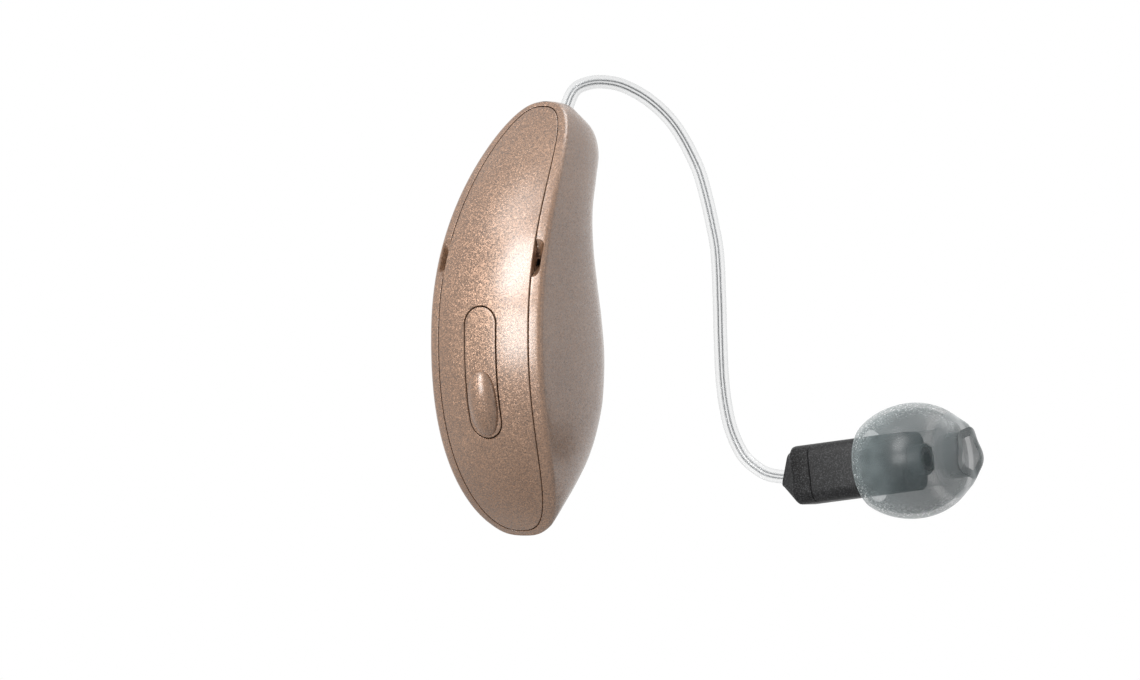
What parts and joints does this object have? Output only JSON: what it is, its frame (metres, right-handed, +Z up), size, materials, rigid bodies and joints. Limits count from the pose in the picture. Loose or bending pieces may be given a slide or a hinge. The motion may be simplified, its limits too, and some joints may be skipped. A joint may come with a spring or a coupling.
{
  "type": "behind-the-ear hearing aid with receiver in canal",
  "caption": "Crescent-shaped hearing aid body worn behind the ear, with a rocker button, sound slots and a clear lead to a canal receiver with a soft dome.",
  "frame": {"origin": "the ear seat: the waist of the body's ear side, where it lies against the root of the ear", "axes": "+Z up towards the crown, +Y out of the ear side (forward, away from the spine), +X towards the head, the way the receiver points"},
  "size_m": [0.0307, 0.027, 0.032],
  "materials": {
    "shell_lacquer": "fine metallic lacquer, semi-gloss",
    "black_moulding": "fine moulded texture",
    "smoked_silicone": "translucent, soft sheen",
    "clear_tubing": "clear, glossy",
    "wire_silver": "tinned strands",
    "seal_rubber": "soft matt",
    "screen_mesh": "fine woven mesh",
    "chassis_moulding": "matt",
    "board_laminate": "solder-masked laminate",
    "chip_package": "moulded package",
    "ceramic_parts": "plated ends",
    "steel_can": "drawn and plated",
    "gold_contact": "gold plated",
    "ferrite": "sintered, matt",
    "enamelled_copper": "enamelled copper",
    "flex_film": "amber film with copper tracks",
    "white_guard": "matt white"
  },
  "bodies": {
    "body": {"main_housing": "shell_lacquer", "spine_cover": "shell_lacquer", "chassis": "chassis_moulding", "circuit_board": "board_laminate", "signal_processor": "chip_package", "radio_chip": "chip_package", "board_components": "ceramic_parts", "microphone_left": "steel_can", "microphone_right": "steel_can", "mic_gasket_left": "seal_rubber", "mic_gasket_right": "seal_rubber", "mic_screen_left": "screen_mesh", "mic_screen_right": "screen_mesh", "battery_cell": "steel_can", "battery_tabs": "gold_contact", "ferrite_sheet": "ferrite", "charge_coil": "enamelled_copper", "antenna": "enamelled_copper", "link_flex": "flex_film", "plug_socket": "black_moulding", "socket_contacts": "gold_contact", "socket_seal": "seal_rubber", "button_pin": "steel_can", "switch_base": "black_moulding", "switch_dome": "steel_can"},
    "button": {"push_button": "shell_lacquer"},
    "receiver_unit": {"receiver_plug": "black_moulding", "plug_contacts": "gold_contact", "receiver_tube": "clear_tubing", "lead_wires": "wire_silver", "receiver_cap": "black_moulding", "receiver_case": "black_moulding", "armature_driver": "steel_can", "driver_boot": "seal_rubber", "sound_spout": "black_moulding", "wax_guard": "white_guard"},
    "dome": {"ear_dome": "smoked_silicone"}
  },
  "joints": [
    {"name": "button_press", "type": "hinge", "parent": "body", "child": "button", "pos_m": [0, -0.01051, -0.0076], "axis": [1, 0, 0], "range_deg": [0, 2], "stiffness_Nm_per_rad": 0.2, "springref_deg": -0.57},
    {"name": "receiver_unplug", "type": "slide", "parent": "body", "child": "receiver_unit", "axis": [0, 0.5736, 0.8192], "range_m": [0, 0.0045]},
    {"name": "dome_pull", "type": "slide", "parent": "receiver_unit", "child": "dome", "axis": [0.9925, 0, 0.1219], "range_m": [0, 0.004]}
  ]
}
